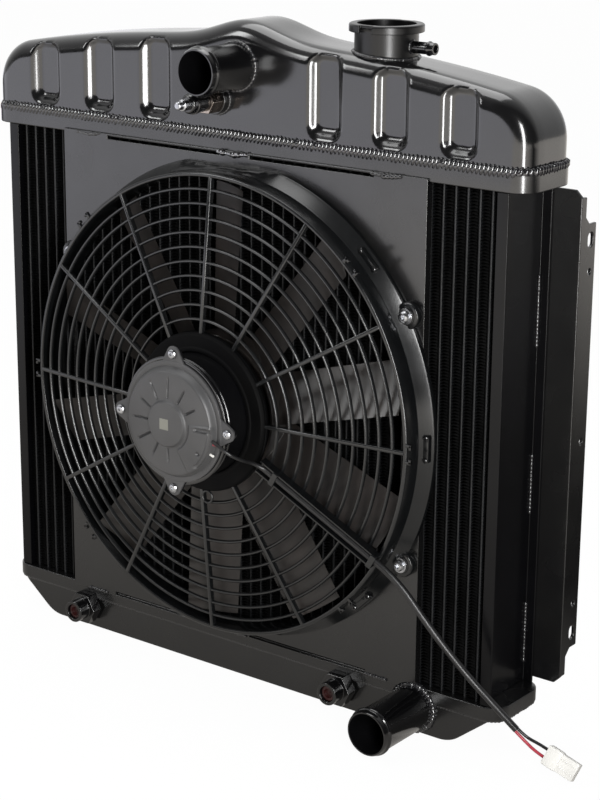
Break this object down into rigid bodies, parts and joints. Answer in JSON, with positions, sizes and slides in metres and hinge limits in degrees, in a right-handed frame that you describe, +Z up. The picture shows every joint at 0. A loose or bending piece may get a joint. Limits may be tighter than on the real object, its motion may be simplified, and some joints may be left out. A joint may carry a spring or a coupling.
{
  "type": "car radiator",
  "caption": "Down-flow aluminium car radiator with a shroud panel, a guarded electric fan and a short pigtail with a two-way connector.",
  "frame": {"origin": "on the floor under the middle of the object's box without its cable: middle of the core in X, bottom of the lower tank in Z, half way between the motor cap and the brackets in Y", "axes": "+X to the right seen from the fan side, +Y from the fan through the core to the far face, +Z up towards the filler neck"},
  "size_m": [0.6367, 0.184, 0.5775],
  "materials": {
    "black_paint": "semi-gloss black paint over aluminium",
    "core_alloy": "thin black coat on brazed aluminium",
    "cooler_brass": "plain machined brass",
    "sender_paint": "gloss black",
    "bright_steel": "bright zinc plate",
    "red_plug": "moulded polyethylene",
    "black_plastic": "moulded glass-filled nylon",
    "blade_plastic": "moulded nylon",
    "motor_paint": "matt grey-black paint on pressed steel",
    "ferrite": "sintered ferrite",
    "core_steel": "stacked laminations",
    "copper": "enamelled copper",
    "carbon": "pressed carbon",
    "brush_board": "phenolic board",
    "black_sleeve": "smooth vinyl sleeve",
    "red_insulation": "extruded vinyl insulation",
    "white_nylon": "moulded natural nylon"
  },
  "bodies": {
    "radiator": {"upper_header": "black_paint", "lower_header": "black_paint", "side_channel_right": "black_paint", "side_channel_left": "black_paint", "mount_bracket_right": "black_paint", "mount_bracket_left": "black_paint", "upper_tank": "black_paint", "lower_tank": "black_paint", "upper_hose_neck": "black_paint", "lower_hose_neck": "black_paint", "filler_neck": "black_paint", "overflow_nipple": "black_paint", "sender_bung": "black_paint", "cooler_ports": "black_paint", "shroud_panel": "black_paint", "core_tubes": "core_alloy", "core_fins": "core_alloy", "oil_cooler": "cooler_brass", "sender_adapter": "cooler_brass", "sender_body": "sender_paint", "sender_terminal": "bright_steel", "fan_screws": "bright_steel", "fan_washers": "bright_steel", "rivet_nuts": "bright_steel", "motor_screws": "bright_steel", "bearing_rear": "bright_steel", "bearing_front": "bright_steel", "connector_terminals": "bright_steel", "port_plugs": "red_plug", "fan_frame": "black_plastic", "fan_grille": "black_plastic", "wire_guide": "black_plastic", "guide_clips": "black_plastic", "motor_can": "motor_paint", "motor_end_cap": "motor_paint", "magnets": "ferrite", "brushes": "carbon", "brush_holder": "brush_board", "motor_lead": "black_sleeve", "cable_sleeve": "black_sleeve", "black_wire": "black_sleeve", "red_wire": "red_insulation", "connector_housing": "white_nylon"},
    "fan_rotor": {"impeller": "blade_plastic", "impeller_nut": "bright_steel", "motor_shaft": "bright_steel", "armature_core": "core_steel", "armature_windings": "copper", "commutator": "copper"}
  },
  "joints": [
    {"name": "fan_spin", "type": "hinge", "parent": "radiator", "child": "fan_rotor", "pos_m": [0, -0.02, 0.25335], "axis": [0, 1, 0], "continuous": true}
  ]
}
